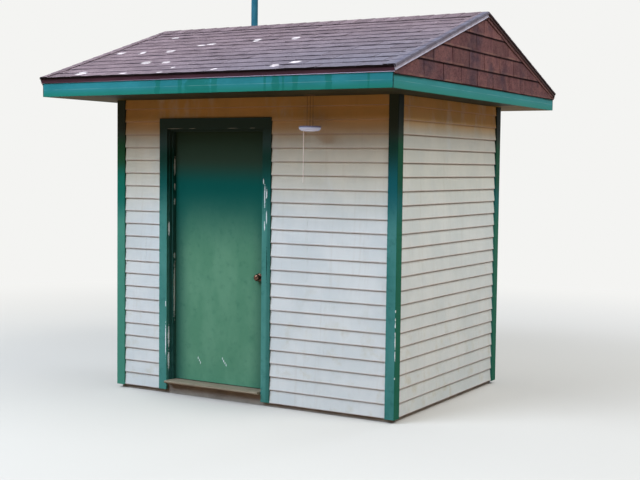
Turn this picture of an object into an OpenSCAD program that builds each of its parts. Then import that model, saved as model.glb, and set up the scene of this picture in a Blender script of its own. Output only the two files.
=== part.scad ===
// Timber-framed outhouse: an 8 by 6 foot hut with lap siding, a recessed door that
// opens inwards, and a low gable roof that overhangs all four sides on a boxed eave.
// The front faces -Y, the gables face +X and -X, and the slab stands on z = 0.

/* [Frame] */
// Width of the stud frame along the eaves
frame_w = 2438; // [1800:1:3600]
// Depth of the stud frame from front to back
frame_d = 1829; // [1400:1:2600]
// Height of the walls from the slab to the top of the plates
wall_h = 2226; // [2180:1:2500]
// Thickness of the framing timber
stud_t = 38; // [35:1:50]
// Depth of the framing timber
stud_d = 89; // [70:1:140]
// Largest distance between stud centres
stud_spacing = 406; // [300:1:610]
// Thickness of the concrete slab
slab_t = 89; // [60:1:150]

/* [Cladding] */
// Thickness of the plywood sheathing
sheathing_t = 12; // [9:1:19]
// Thickness of the plywood lining inside
lining_t = 9; // [6:1:13]
// Height of siding that each course shows
siding_exposure = 100; // [80:1:180]
// Height of the lowest siding edge above the ground
siding_z = 32; // [20:1:80]
// Thickness of a siding board at its lower edge
siding_butt_t = 15; // [10:1:20]
// Thickness of a siding board at its upper edge
siding_top_t = 5; // [3:1:8]
// Thickness of the corner boards and the door casing
trim_t = 22; // [18:1:30]
// Width of a corner board on the front or back face
corner_face_w = 77; // [60:1:120]
// Width of a corner board on a gable-side face
corner_side_w = 82; // [65:1:120]

/* [Door] */
// Left edge of the door opening, between the jambs
door_left_x = -745; // [-1000:1:-400]
// Clear width between the jambs
door_opening_w = 870; // [700:1:950]
// Height of the door opening above the slab
door_opening_h = 1980; // [1900:1:2060]
// Thickness of the door leaf
door_t = 44; // [35:1:45]
// Gap between the leaf and the jamb on the hinge side
hinge_gap = 5; // [5:1:8]
// Gap between the leaf and the jamb on the latch side
latch_gap = 8; // [6:1:12]
// Gap over the leaf, under it and in front of it
leaf_gap = 5; // [5:1:10]
// Thickness of the jambs
jamb_t = 19; // [16:1:32]
// Width of the door casing boards
casing_w = 74; // [60:1:110]
// How far the casing is set back from the face of the jambs
casing_reveal = 8; // [3:1:15]
// Height of the head casing
head_casing_h = 81; // [70:1:110]
// Thickness of the door sill
sill_t = 19; // [15:1:40]
// Height of the knob above the slab
knob_h = 870; // [800:1:1100]
// Distance from the latch edge of the leaf to the knob
knob_backset = 60; // [50:1:80]

/* [Roof] */
// Overhang of the eaves beyond the corner boards
eave_overhang = 578; // [300:1:700]
// Overhang of the gables beyond the corner boards
gable_overhang = 245; // [200:1:400]
// Rise of the roof in each 12 units of run
roof_rise_in_12 = 4; // [3:0.1:6]
// Height of the fascia boards
fascia_h = 127; // [120:1:184]
// Thickness of the fascia boards
fascia_t = 19; // [16:1:25]
// Thickness of the soffit boards
soffit_t = 9; // [6:1:13]
// Thickness of the roof deck
deck_t = 12; // [9:1:19]
// Height of shingle that each course shows on the roof and on the gables
shingle_exposure = 127; // [100:1:150]
// Thickness of one layer of shingle
shingle_t = 4; // [3:1:6]

/* [Vent and lamp] */
// Outer diameter of the vent pipe
vent_d = 60; // [50:1:110]
// Position of the vent pipe along the eaves
vent_x = -1043; // [-1050:1:1050]
// Position of the vent pipe from front to back
vent_y = 700; // [300:1:740]
// Height of the vent pipe above the ridge
vent_rise = 425; // [300:1:700]
// Diameter of the lamp that hangs under the front eave
lamp_d = 158; // [120:1:220]
// Position of the lamp along the eaves
lamp_x = 610; // [400:1:900]
// Length of the wires that hold the lamp
lamp_wire_l = 222; // [100:1:350]
// Length of the rod that hangs from the lamp
lamp_rod_l = 368; // [150:1:500]

/* [Hidden] */

// Joint gap between boards that lie end to end
joint = 1;
// Overlap used only to cut cleanly through a face
cut = 1;
// Play between sheets that lie on each other along a slope
lay_gap = 0.05;

// Planes of the walls, from the inside out
half_w = frame_w / 2;
half_d = frame_d / 2;
slab_top = slab_t;
plate_top = slab_top + wall_h;
room_x = half_w - stud_d;
room_y = half_d - stud_d;
lined_x = room_x - lining_t;
lined_y = room_y - lining_t;
sheath_x = half_w + sheathing_t;
sheath_y = half_d + sheathing_t;
face_x = sheath_x + trim_t;
face_y = sheath_y + trim_t;
foot_step = 6;
sheath_z = siding_z + foot_step;
corner_z = siding_z - foot_step;
soffit_z = plate_top - soffit_t;
plates_z = plate_top - 2 * stud_t;

// The door opening and what lines it
door_right_x = door_left_x + door_opening_w;
door_head_z = slab_top + door_opening_h;
rough_left_x = door_left_x - jamb_t;
rough_right_x = door_right_x + jamb_t;
rough_head_z = door_head_z + jamb_t;
casing_left_x = door_left_x - casing_reveal - casing_w;
casing_right_x = door_right_x + casing_reveal + casing_w;
head_casing_z = door_head_z + casing_reveal;
casing_top_z = head_casing_z + head_casing_h;
sill_nose = 30;
sill_top = slab_top + sill_t;

// The leaf, with its inner face flush with the lining
leaf_left_x = door_left_x + hinge_gap;
leaf_right_x = door_right_x - latch_gap;
leaf_front_y = -lined_y - door_t;
leaf_z = sill_top + leaf_gap;
leaf_top_z = door_head_z - leaf_gap;
stop_t = 12;
stop_w = 32;

// The knobs, the latch and its strike
knob_x = leaf_right_x - knob_backset;
knob_z = slab_top + knob_h;
spindle_d = 20;
spindle_hole_d = 24;
rose_r = 30;
rose_t = 3;
knob_r = 26;
knob_neck_r = 12;
knob_reach = 58;
strike_h = 57;
strike_w = 28;
strike_t = 1.5;
strike_y = leaf_front_y + door_t / 2;
strike_hole_d = 18;
latch_w = 24;
latch_t = 1.2;
bolt_d = 15;
bolt_reach = 2.7;

// Butt hinges with five knuckles
hinge_h = 89;
hinge_leaf_t = 1.8;
hinge_leaf_w = 38;
knuckle_r = 6;
knuckles = 5;
knuckle_gap = 0.4;
pin_r = 3;
pin_clearance = 0.08;
knuckle_stand = 0.5;
hinge_from_foot = 270;
hinge_from_head = 180;
hinge_x = door_left_x + hinge_gap / 2;
hinge_y = -lined_y + knuckle_r + knuckle_stand;
hinge_low_z = leaf_z + hinge_from_foot;
hinge_high_z = leaf_top_z - hinge_from_head;
hinge_zs = [hinge_low_z, (hinge_low_z + hinge_high_z) / 2, hinge_high_z];

// The roof, worked out from the top of the deck over the fascia
pitch = roof_rise_in_12 / 12;
roof_angle = atan(pitch);
eave_y = face_y + eave_overhang;
gable_x = face_x + gable_overhang;
fascia_z = soffit_z;
deck_drop = deck_t / cos(roof_angle);
deck_z = fascia_z + fascia_h + deck_drop;
ridge_z = deck_z + eave_y * pitch;
slope_l = eave_y / cos(roof_angle);
rake_overhang = 12;
rake_x = gable_x + rake_overhang;
truss_y = eave_y - fascia_t;
rafter_drop = stud_d / cos(roof_angle);
chord_top = plate_top + stud_d;
wall_truss_xs = [-half_w + stud_t / 2, -half_w / 2, 0, half_w / 2, half_w - stud_t / 2];
gable_truss_x = gable_x - fascia_t - stud_t / 2;
ladder_spacing = 590;
ladder_ys = [for (i = [-2 : 2]) i * ladder_spacing];

// The shingles lie at least two layers thick, and each butt stands one layer proud
shingle_base_t = 5;
shingle_top_t = shingle_base_t + shingle_t;
eave_lip = 14;
cap_w = 150;
cap_round = 10;
drip_t = 2;
drip_flange = 60;
drip_face_h = 38;
drip_kick = 5;
rake_flange = 50;
rake_face_h = 27;
rake_leaf_h = 24;
rake_leaf_flare = 5;
rake_leaf_top = 105;
hem_t = 1;
gable_lap = 33;
gable_shingle_z = fascia_z + fascia_h - gable_lap;

// The vent
vent_wall = 4;
vent_clearance = 3;
vent_hole_d = vent_d + 2 * vent_clearance;
vent_top = ridge_z + vent_rise;
flashing_l = 300;
flashing_t = 2;
collar_t = 4;
collar_h = 70;
vent_cap_d = 130;
vent_cap_gap = 45;
vent_cap_h = 35;

// The lamp
lamp_wall_gap = 38;
lamp_y = -face_y - lamp_d / 2 - lamp_wall_gap;
lamp_h = 36;
lamp_boss_h = 3;
lamp_z = soffit_z - lamp_wire_l;
lamp_wire_d = 3;
lamp_wire_r = 24;
lamp_rod_d = 6;
lamp_rod_out = 52;
hook_d = 24;
hook_t = 3;

// Moves a shape from the ground plan to the front slope: x along the eave, y up the
// slope from the edge of the deck, z square to the deck
module on_slope() {
    translate([0, -eave_y, deck_z + lay_gap]) rotate([roof_angle, 0, 0]) children();
}

// Extrudes a profile drawn with its x along Y and its y along Z, between two x values
module along_x(x0, x1) {
    translate([x0, 0, 0]) rotate([90, 0, 90]) linear_extrude(x1 - x0) children();
}

// Extrudes a profile drawn with its x along X and its y along Z, between two y values
module along_y(y0, y1) {
    translate([0, y1, 0]) rotate([90, 0, 0]) linear_extrude(y1 - y0) children();
}

// A box given by two opposite corners
module block(low, high) {
    translate(low) cube(high - low);
}

// Both of a pair that mirror each other from left to right
module left_and_right() {
    children();
    mirror([1, 0, 0]) children();
}

// Both of a pair that mirror each other from front to back
module front_and_back() {
    children();
    mirror([0, 1, 0]) children();
}

// Saw-tooth edge of lapped courses: thick at each lower edge, thin where the next covers it
function lapped(start, end, exposure, thin, thick) = [
    for (low = [start : exposure : end - 1])
        each [[thick, low], [thin + (thick - thin) * max(0, low + exposure - end) / exposure,
            min(low + exposure, end)]]
];

// Outline of lapped siding in plan thickness and height
module siding_profile() {
    polygon(concat([[0, siding_z]],
        lapped(siding_z, soffit_z, siding_exposure, siding_top_t, siding_butt_t),
        [[0, soffit_z]]));
}

// Siding on the front face, running left to right between two x values
module siding_along_x(x0, x1) {
    translate([0, -sheath_y, 0]) mirror([0, 1, 0]) along_x(x0, x1) siding_profile();
}

// Siding on the right face, between its two corner boards
module siding_along_y() {
    side_y = sheath_y - corner_side_w + trim_t;
    translate([sheath_x, 0, 0]) along_y(-side_y, side_y) siding_profile();
}

// Concrete slab, cast in a form as high as a framing timber
module floor_slab() {
    color("#a9a59b") block([-half_w, -half_d, 0], [half_w, half_d, slab_t]);
}

// Studs of one wall, evenly spaced between two ends and drawn along X
module stud_row(x0, x1, y0) {
    bays = ceil((x1 - x0 - stud_t) / stud_spacing);
    step = (x1 - x0 - stud_t) / bays;
    for (i = [0 : bays])
        block([x0 + i * step, y0, slab_top], [x0 + i * step + stud_t, y0 + stud_d, plate_top]);
}

// Bottom plate and doubled top plate of one wall
module plates(x0, x1, y0) {
    block([x0, y0, slab_top], [x1, y0 + stud_d, slab_top + stud_t]);
    block([x0, y0, plates_z], [x1, y0 + stud_d, plate_top]);
}

// The frame of the front wall, with doubled studs and a header round the door
module front_frame() {
    y0 = -half_d;
    difference() {
        union() {
            plates(-half_w, half_w, y0);
            stud_row(-half_w, rough_left_x, y0);
            stud_row(rough_left_x - 2 * stud_t, rough_left_x, y0);
            stud_row(rough_right_x, rough_right_x + 2 * stud_t, y0);
            stud_row(rough_right_x, half_w, y0);
            block([rough_left_x - cut, y0, rough_head_z],
                [rough_right_x + cut, y0 + stud_d, plates_z + cut]);
        }
        block([rough_left_x, y0 - cut, slab_top - cut], [rough_right_x, y0 + stud_d + cut, rough_head_z]);
    }
}

// All the studs and plates, closed in between sheathing and lining
module wall_frame() {
    color("#c8a877") {
        front_frame();
        plates(-half_w, half_w, half_d - stud_d);
        stud_row(-half_w, half_w, half_d - stud_d);
        left_and_right() rotate(90) {
            plates(-room_y, room_y, -half_w);
            stud_row(-room_y, room_y, -half_w);
        }
    }
}

// A sheet of front wall sheathing between two x values
module front_sheet(x0, x1, z0) {
    color("#b9a988") block([x0, -sheath_y, z0], [x1, -half_d, plate_top]);
}

module front_wall_left() {
    front_sheet(-sheath_x, rough_left_x, sheath_z);
}

module front_wall_right() {
    front_sheet(rough_right_x, sheath_x, sheath_z);
}

module front_wall_over_door() {
    front_sheet(rough_left_x, rough_right_x, rough_head_z);
}

module right_wall() {
    color("#b9a988") block([half_w, -half_d, sheath_z], [sheath_x, half_d, plate_top]);
}

module left_wall() {
    mirror([1, 0, 0]) right_wall();
}

module back_wall() {
    color("#b9a988") block([-sheath_x, half_d, sheath_z], [sheath_x, sheath_y, plate_top]);
}

// Lap siding on the front, cut round the door casing
module front_siding() {
    board_x = face_x - corner_face_w;
    color("#d5cfbd") difference() {
        siding_along_x(-board_x, board_x);
        block([casing_left_x, -face_y, 0], [casing_right_x, -sheath_y + cut, casing_top_z]);
    }
}

module back_siding() {
    board_x = face_x - corner_face_w;
    color("#d5cfbd") mirror([0, 1, 0]) siding_along_x(-board_x, board_x);
}

module right_siding() {
    color("#d5cfbd") siding_along_y();
}

module left_siding() {
    color("#d5cfbd") mirror([1, 0, 0]) siding_along_y();
}

// Plywood lining beside and over the door
module front_lining() {
    color("#c9b894") {
        block([-room_x, -room_y, slab_top], [rough_left_x, -lined_y, soffit_z]);
        block([rough_right_x, -room_y, slab_top], [room_x, -lined_y, soffit_z]);
        block([rough_left_x + joint, -room_y, rough_head_z], [rough_right_x - joint, -lined_y, soffit_z]);
    }
}

module side_linings() {
    color("#c9b894") left_and_right()
        block([lined_x, -lined_y, slab_top], [room_x, lined_y, soffit_z]);
}

module back_lining() {
    color("#c9b894") block([-room_x, lined_y, slab_top], [room_x, room_y, soffit_z]);
}

// A round hole for the vent pipe
module vent_hole() {
    translate([vent_x, vent_y, slab_top]) cylinder(d = vent_hole_d, h = vent_top, $fn = 48);
}

module ceiling() {
    color("#c9b894") difference() {
        block([-room_x, -room_y, soffit_z], [room_x, room_y, plate_top]);
        vent_hole();
    }
}

// Two boards that meet round the front right corner
module corner_board() {
    block([face_x - corner_face_w, -face_y, corner_z], [face_x, -sheath_y, soffit_z]);
    block([sheath_x, -face_y, corner_z], [face_x, -face_y + corner_side_w, soffit_z]);
}

module front_corner_boards() {
    color("#1d5c4c") left_and_right() corner_board();
}

module back_corner_boards() {
    color("#1d5c4c") mirror([0, 1, 0]) left_and_right() corner_board();
}

module door_side_casings() {
    color("#1d5c4c") {
        block([casing_left_x, -face_y, siding_z], [casing_left_x + casing_w, -sheath_y, head_casing_z]);
        block([casing_right_x - casing_w, -face_y, siding_z], [casing_right_x, -sheath_y, head_casing_z]);
    }
}

module door_head_casing() {
    color("#1d5c4c")
        block([casing_left_x, -face_y, head_casing_z], [casing_right_x, -sheath_y, casing_top_z]);
}

// Latch strike: a plate let into the right jamb
module strike_blank(grow) {
    block([door_right_x, strike_y - strike_w / 2, knob_z - strike_h / 2],
        [door_right_x + strike_t + grow, strike_y + strike_w / 2, knob_z + strike_h / 2]);
}

// Side jambs, from the outside of the sheathing to the inside of the lining
module door_side_jambs() {
    color("#1d5c4c") {
        block([rough_left_x, -sheath_y, slab_top], [door_left_x, -lined_y, door_head_z]);
        difference() {
            block([door_right_x, -sheath_y, slab_top], [rough_right_x, -lined_y, door_head_z]);
            translate([-cut, 0, 0]) strike_blank(cut);
        }
    }
}

module door_head_jamb() {
    color("#1d5c4c")
        block([rough_left_x, -sheath_y, door_head_z], [rough_right_x, -lined_y, rough_head_z]);
}

// Stop strips on the weather side of the leaf
module door_stops() {
    y1 = leaf_front_y - leaf_gap;
    y0 = y1 - stop_w;
    color("#1d5c4c") {
        block([door_left_x, y0, sill_top], [door_left_x + stop_t, y1, door_head_z - stop_t - joint]);
        block([door_right_x - stop_t, y0, sill_top], [door_right_x, y1, door_head_z - stop_t - joint]);
        block([door_left_x, y0, door_head_z - stop_t], [door_right_x, y1, door_head_z]);
    }
}

// Sill between the jambs, with a rounded nose in front of the casing
module door_sill() {
    nose_r = sill_t / 2;
    color("#7f7766") along_x(door_left_x, door_right_x) {
        translate([-face_y - sill_nose, slab_top + nose_r]) circle(r = nose_r, $fn = 32);
        polygon([[-face_y - sill_nose, slab_top], [-lined_y, slab_top],
            [-lined_y, sill_top], [-face_y - sill_nose, sill_top]]);
    }
}

// Flush door leaf, bored for the spindle of the knobs
module door_leaf() {
    color("#3f7a63") difference() {
        block([leaf_left_x, leaf_front_y, leaf_z], [leaf_right_x, -lined_y, leaf_top_z]);
        translate([knob_x, -lined_y + cut, knob_z]) rotate([90, 0, 0])
            cylinder(d = spindle_hole_d, h = door_t + 2 * cut, $fn = 40);
    }
}

// The knuckles of one hinge leaf: every second one, counted from first
module hinge_knuckles(z0, first) {
    step = hinge_h / knuckles;
    for (i = [first : 2 : knuckles - 1])
        translate([hinge_x, hinge_y, z0 + i * step + knuckle_gap / 2])
            cylinder(r = knuckle_r, h = step - knuckle_gap, $fn = 40);
}

// Leaf of one hinge: a plate beside the knuckle's axis, cut away round the other leaf's knuckles
module hinge_plate(x0, z0, first) {
    step = hinge_h / knuckles;
    x1 = x0 + hinge_leaf_t;
    inner_y = hinge_y - knuckle_r - knuckle_stand;
    block([x0, inner_y - hinge_leaf_w, z0], [x1, inner_y, z0 + hinge_h]);
    for (i = [first : 2 : knuckles - 1])
        block([x0, inner_y - cut, z0 + i * step + knuckle_gap / 2],
            [x1, hinge_y, z0 + (i + 1) * step - knuckle_gap / 2]);
}

// Hinge leaves on the jamb, each with its pin
module frame_hinge_leaves() {
    color("#8d8a80") for (z = hinge_zs) {
        z0 = z - hinge_h / 2;
        hinge_plate(door_left_x, z0, 0);
        hinge_knuckles(z0, 0);
        translate([hinge_x, hinge_y, z0]) cylinder(r = pin_r, h = hinge_h, $fn = 40);
    }
}

// Hinge leaves on the edge of the door, bored for the pins
module door_hinge_leaves() {
    color("#8d8a80") for (z = hinge_zs) {
        z0 = z - hinge_h / 2;
        difference() {
            union() {
                hinge_plate(leaf_left_x - hinge_leaf_t, z0, 1);
                hinge_knuckles(z0, 1);
            }
            translate([hinge_x, hinge_y, z0 - cut])
                cylinder(r = pin_r + pin_clearance, h = hinge_h + 2 * cut, $fn = 40);
        }
    }
}

// Half of a knob's outline: rose, neck and a flattened ball, in radius and distance from
// the leaf
module knob_outline() {
    ball_r = knob_reach - knob_r;
    polygon([[0, 0], [rose_r, 0], [rose_r, rose_t], [rose_r * 0.8, rose_t + 5],
        [knob_neck_r + 2, rose_t + 8], [knob_neck_r, knob_r], [0, knob_r]]);
    intersection() {
        translate([0, ball_r]) scale([1, 0.85]) circle(r = knob_r, $fn = 48);
        square([knob_r, knob_reach]);
    }
}

// Outer and inner knob on one spindle
module door_knobs() {
    color("#b08d45") translate([knob_x, leaf_front_y, knob_z]) rotate([90, 0, 0]) {
        rotate_extrude($fn = 48) knob_outline();
        translate([0, 0, -door_t]) {
            mirror([0, 0, 1]) rotate_extrude($fn = 48) knob_outline();
            cylinder(d = spindle_d, h = door_t, $fn = 40);
        }
    }
}

// Latch face plate on the edge of the leaf, with the nose of the bolt
module door_latch() {
    color("#b08d45") {
        block([leaf_right_x, strike_y - latch_w / 2, knob_z - strike_h / 2],
            [leaf_right_x + latch_t, strike_y + latch_w / 2, knob_z + strike_h / 2]);
        translate([leaf_right_x, strike_y, knob_z]) rotate([0, 90, 0])
            cylinder(d = bolt_d, h = bolt_reach, $fn = 40);
    }
}

module strike_plate() {
    color("#b08d45") difference() {
        strike_blank(0);
        translate([door_right_x - cut, strike_y, knob_z]) rotate([0, 90, 0])
            cylinder(d = strike_hole_d, h = strike_t + 2 * cut, $fn = 40);
    }
}

// Underside of the deck at a distance from the ridge line, and the top of what carries it
function deck_underside(y) = ridge_z - deck_drop - abs(y) * pitch;
function under_deck(y) = deck_underside(y) - lay_gap;

// One roof truss: a tie whose ends are cut to the rafters, two rafters and a king post
module truss_profile() {
    tail_z = under_deck(truss_y) - rafter_drop;
    mid_z = tail_z + rafter_drop / 2;
    heel_y = truss_y - (chord_top - mid_z) / pitch;
    polygon([[-truss_y, plate_top], [truss_y, plate_top], [truss_y, mid_z],
        [heel_y, chord_top], [-heel_y, chord_top], [-truss_y, mid_z]]);
    for (side = [-1, 1])
        polygon([[side * truss_y, tail_z], [side * truss_y, under_deck(truss_y)],
            [0, under_deck(0)], [0, under_deck(0) - rafter_drop]]);
    polygon([[-stud_d / 2, chord_top - cut], [stud_d / 2, chord_top - cut],
        [stud_d / 2, under_deck(stud_d / 2) - cut], [-stud_d / 2, under_deck(stud_d / 2) - cut]]);
}

module truss(x) {
    along_x(x - stud_t / 2, x + stud_t / 2) truss_profile();
}

// Trusses over the walls, and a gable truss each side carried out on short ladder blocks
module roof_trusses() {
    color("#c8a877") {
        for (x = wall_truss_xs) truss(x);
        left_and_right() {
            truss(gable_truss_x);
            for (y = ladder_ys)
                block([half_w - cut, y - stud_t / 2, plate_top],
                    [gable_truss_x, y + stud_t / 2, chord_top]);
        }
    }
}

// One slope of the deck, with plumb edges
module roof_deck_front() {
    ridge_gap = 1;
    color("#b9a988") along_x(-rake_x, rake_x) polygon([
        [-eave_y, deck_z], [-eave_y, deck_z - deck_drop],
        [-ridge_gap, deck_underside(ridge_gap)], [-ridge_gap, ridge_z - ridge_gap * pitch]]);
}

module roof_deck_back() {
    color("#b9a988") difference() {
        mirror([0, 1, 0]) roof_deck_front();
        vent_hole();
    }
}

// Lapped shingles on one slope, notched over the flange of the drip edge
module slope_shingles() {
    courses = lapped(-eave_lip, slope_l, shingle_exposure, shingle_base_t, shingle_top_t);
    notch_l = drip_flange + joint;
    notch_t = drip_t + lay_gap;
    along_x(-rake_x, rake_x) polygon(concat(
        [[-eave_lip, notch_t]], [for (p = courses) [p[1], p[0]]],
        [[slope_l, 0], [notch_l, 0], [notch_l, notch_t]]));
}

module shingles_front() {
    color("#7d6b6c") on_slope() slope_shingles();
}

module shingles_back() {
    color("#7d6b6c") difference() {
        mirror([0, 1, 0]) on_slope() slope_shingles();
        vent_hole();
    }
}

// Ridge cap: a folded strip over the top course of both slopes
module ridge_cap() {
    top = ridge_z + (shingle_top_t + 2 * lay_gap) / cos(roof_angle);
    run = cap_w * cos(roof_angle);
    fall = cap_w * sin(roof_angle);
    thick = shingle_t / cos(roof_angle);
    end_x = rake_x + drip_t - rake_leaf_top - joint;
    crown = top + thick - (cap_round - 3) * pitch;
    color("#6f5e62") along_x(-end_x, end_x) polygon([
        [-run, top - fall], [-run, top - fall + thick], [-cap_round, crown],
        [cap_round, crown], [run, top - fall + thick], [run, top - fall], [0, top]]);
}

// Extrudes a profile of x and height over the deck up one slope, as far as the ridge
module up_slope(start) {
    past_ridge = slope_l + cap_w;
    intersection() {
        on_slope() translate([0, past_ridge, 0]) rotate([90, 0, 0])
            linear_extrude(past_ridge - start) children();
        block([-2 * gable_x, -2 * eave_y, 0], [2 * gable_x, 0, 2 * ridge_z]);
    }
}

// Metal edge on the gable end of the deck: flange, face and a kicked-out hem
module rake_drip_profile() {
    x0 = rake_x;
    x1 = x0 + drip_t;
    z0 = shingle_top_t + lay_gap;
    polygon([[x0 - rake_flange, z0], [x0 - rake_flange, z0 + drip_t], [x1, z0 + drip_t],
        [x1, -rake_face_h + drip_kick], [x1 + drip_kick, -rake_face_h],
        [x0 + drip_kick, -rake_face_h - hem_t], [x0, -rake_face_h + drip_kick - hem_t], [x0, z0]]);
}

module rake_drip_edges() {
    color("#9a9a9e") left_and_right() front_and_back() up_slope(-eave_lip) rake_drip_profile();
}

// Strip of shingle laid up the gable edge and folded down over its metal
module rake_shingle_profile() {
    x0 = rake_x + drip_t;
    x1 = x0 + shingle_t;
    z0 = shingle_top_t + drip_t + 2 * lay_gap;
    fold = shingle_t * 0.75;
    polygon([[x0 - rake_leaf_top, z0], [x0 - rake_leaf_top, z0 + shingle_t], [x1 - fold, z0 + shingle_t],
        [x1, z0 + shingle_t - fold], [x1 + rake_leaf_flare, z0 - rake_leaf_h],
        [x0 + rake_leaf_flare, z0 - rake_leaf_h - hem_t], [x0, z0 - 2 * fold], [x0, z0]]);
}

module rake_shingles() {
    color("#625c66") left_and_right() front_and_back() up_slope(-eave_lip) rake_shingle_profile();
}

// Metal edge along the eaves: flange on the deck, face over the fascia, kicked-out hem
module eave_drip_profile() {
    run = drip_flange * cos(roof_angle);
    rise = drip_flange * sin(roof_angle);
    lift = drip_t / cos(roof_angle);
    y0 = -eave_y;
    y1 = y0 - drip_t;
    top_z = deck_z + lay_gap;
    foot_z = deck_z - drip_face_h;
    polygon([[y0 + run, top_z + rise], [y0 + run, top_z + rise + lift],
        [y1, top_z + lift - drip_t * pitch], [y1, foot_z + drip_kick], [y1 - drip_kick, foot_z],
        [y0 - drip_kick, foot_z - hem_t], [y0, foot_z + drip_kick - hem_t], [y0, top_z]]);
}

module eave_drip_edges() {
    color("#4a2a30") front_and_back() along_x(-rake_x, rake_x) eave_drip_profile();
}

module eave_fascias() {
    color("#2f7d78") front_and_back()
        block([-gable_x, -eave_y, fascia_z], [gable_x, -truss_y, fascia_z + fascia_h]);
}

// Fascias on the gable ends, between the eave fascias
module gable_fascias() {
    color("#2f7d78") left_and_right()
        block([gable_x - fascia_t, -truss_y + joint, fascia_z],
            [gable_x, truss_y - joint, fascia_z + fascia_h]);
}

module soffit_boards() {
    inner_x = gable_x - fascia_t;
    color("#cbb98f") {
        front_and_back()
            block([-inner_x, -truss_y, soffit_z], [inner_x, -sheath_y, plate_top]);
        left_and_right()
            block([sheath_x, -sheath_y + joint, soffit_z], [inner_x, sheath_y - joint, plate_top]);
    }
}

// Outline under the deck from a height up to the ridge, in y and z
module gable_outline(z0) {
    y0 = eave_y - max(0, z0 - under_deck(eave_y)) / pitch;
    polygon([[-y0, z0], [y0, z0], [y0, under_deck(y0)], [0, under_deck(0)], [-y0, under_deck(y0)]]);
}

// Boarding of the gables, in the plane of the fascia under it
module gable_walls() {
    color("#b9a988") left_and_right()
        along_x(gable_x - fascia_t, gable_x) gable_outline(fascia_z + fascia_h + joint);
}

// Lapped shingles on the gables, hanging over the top of the fascia
module gable_shingles() {
    top_z = under_deck(0);
    color("#6b4743") left_and_right() intersection() {
        translate([gable_x, 0, 0]) along_y(-eave_y, eave_y) polygon(concat([[0, gable_shingle_z]],
            lapped(gable_shingle_z, top_z, shingle_exposure, shingle_t, 2 * shingle_t), [[0, top_z]]));
        along_x(gable_x - cut, rake_x) gable_outline(gable_shingle_z);
    }
}

// Vent pipe standing on the slab in the back left corner
module vent_pipe() {
    color("#2d7186") translate([vent_x, vent_y, slab_top]) difference() {
        cylinder(d = vent_d, h = vent_top - slab_top, $fn = 48);
        cylinder(d = vent_d - 2 * vent_wall, h = 3 * vent_top, center = true, $fn = 48);
    }
}

// Flashing plate on the back slope with a collar round the pipe
module vent_flashing() {
    up = (eave_y - vent_y) / cos(roof_angle);
    half = flashing_l / 2;
    z0 = shingle_top_t + lay_gap;
    color("#4c5254") difference() {
        union() {
            mirror([0, 1, 0]) on_slope()
                block([vent_x - half, up - half, z0], [vent_x + half, up + half, z0 + flashing_t]);
            intersection() {
                translate([vent_x, vent_y, deck_z])
                    cylinder(d = vent_d + 2 * collar_t, h = ridge_z, $fn = 48);
                mirror([0, 1, 0]) on_slope()
                    block([vent_x - half, 0, z0], [vent_x + half, slope_l, z0 + collar_h]);
            }
        }
        translate([vent_x, vent_y, 0]) cylinder(d = vent_d, h = vent_top, $fn = 48);
    }
}

// Rain cap on three straps
module vent_cap() {
    strap_t = 2;
    strap_w = 16;
    strap_grip = 40;
    color("#2d7186") translate([vent_x, vent_y, vent_top]) {
        translate([0, 0, vent_cap_gap]) rotate_extrude($fn = 48)
            polygon([[0, 0], [vent_cap_d / 2, 0], [vent_cap_d / 2, strap_t], [0, vent_cap_h]]);
        for (turn = [0, 120, 240]) rotate(turn)
            block([vent_d / 2, -strap_w / 2, -strap_grip],
                [vent_d / 2 + strap_t, strap_w / 2, vent_cap_gap + cut]);
    }
}

// Round lamp: wide flat top, and a side that curves in to a recessed face below, in radius and height
module hanging_lamp() {
    r = lamp_d / 2;
    color("#e4e7ea") translate([lamp_x, lamp_y, lamp_z - lamp_h]) rotate_extrude($fn = 64)
        polygon([[0, 0], [r * 0.44, 0], [r * 0.5, lamp_boss_h], [r * 0.76, lamp_boss_h], [r * 0.88, 8],
            [r * 0.96, 15], [r, 23], [r, 32], [r * 0.97, lamp_h], [0, lamp_h]]);
}

// Screw hook plate on the soffit and three wires down to the lamp
module lamp_wires() {
    color("#8b8a86") translate([lamp_x, lamp_y, 0]) {
        translate([0, 0, soffit_z - hook_t]) cylinder(r = lamp_wire_r + hook_d / 2, h = hook_t, $fn = 40);
        for (turn = [0, 120, 240]) rotate(turn)
            translate([lamp_wire_r, 0, lamp_z]) cylinder(d = lamp_wire_d, h = lamp_wire_l - hook_t, $fn = 16);
    }
}

// Rod that hangs from the underside of the lamp
module lamp_rod() {
    top = lamp_z - lamp_h + lamp_boss_h;
    color("#eceeee") translate([lamp_x - lamp_rod_out, lamp_y, top - lamp_rod_l])
        cylinder(d = lamp_rod_d, h = lamp_rod_l, $fn = 24);
}

floor_slab();
wall_frame();
front_wall_left();
front_wall_right();
front_wall_over_door();
left_wall();
right_wall();
back_wall();
front_siding();
left_siding();
right_siding();
back_siding();
front_lining();
side_linings();
back_lining();
ceiling();
front_corner_boards();
back_corner_boards();
door_side_casings();
door_head_casing();
door_side_jambs();
door_head_jamb();
door_stops();
door_sill();
door_leaf();
frame_hinge_leaves();
door_hinge_leaves();
door_knobs();
door_latch();
strike_plate();
roof_trusses();
roof_deck_front();
roof_deck_back();
shingles_front();
shingles_back();
ridge_cap();
rake_shingles();
rake_drip_edges();
eave_drip_edges();
eave_fascias();
gable_fascias();
soffit_boards();
gable_walls();
gable_shingles();
vent_pipe();
vent_flashing();
vent_cap();
hanging_lamp();
lamp_wires();
lamp_rod();
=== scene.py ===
"""Dresses a small timber outhouse: coated lap siding, green painted trim, a recessed door that
opens inwards, and a boxed gable roof of three-tab asphalt shingles. Lengths are in metres, and
in millimetres where a name ends in _mm or _MM."""

import math
import random

import bmesh
import bpy
from mathutils import Matrix, Vector


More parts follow.
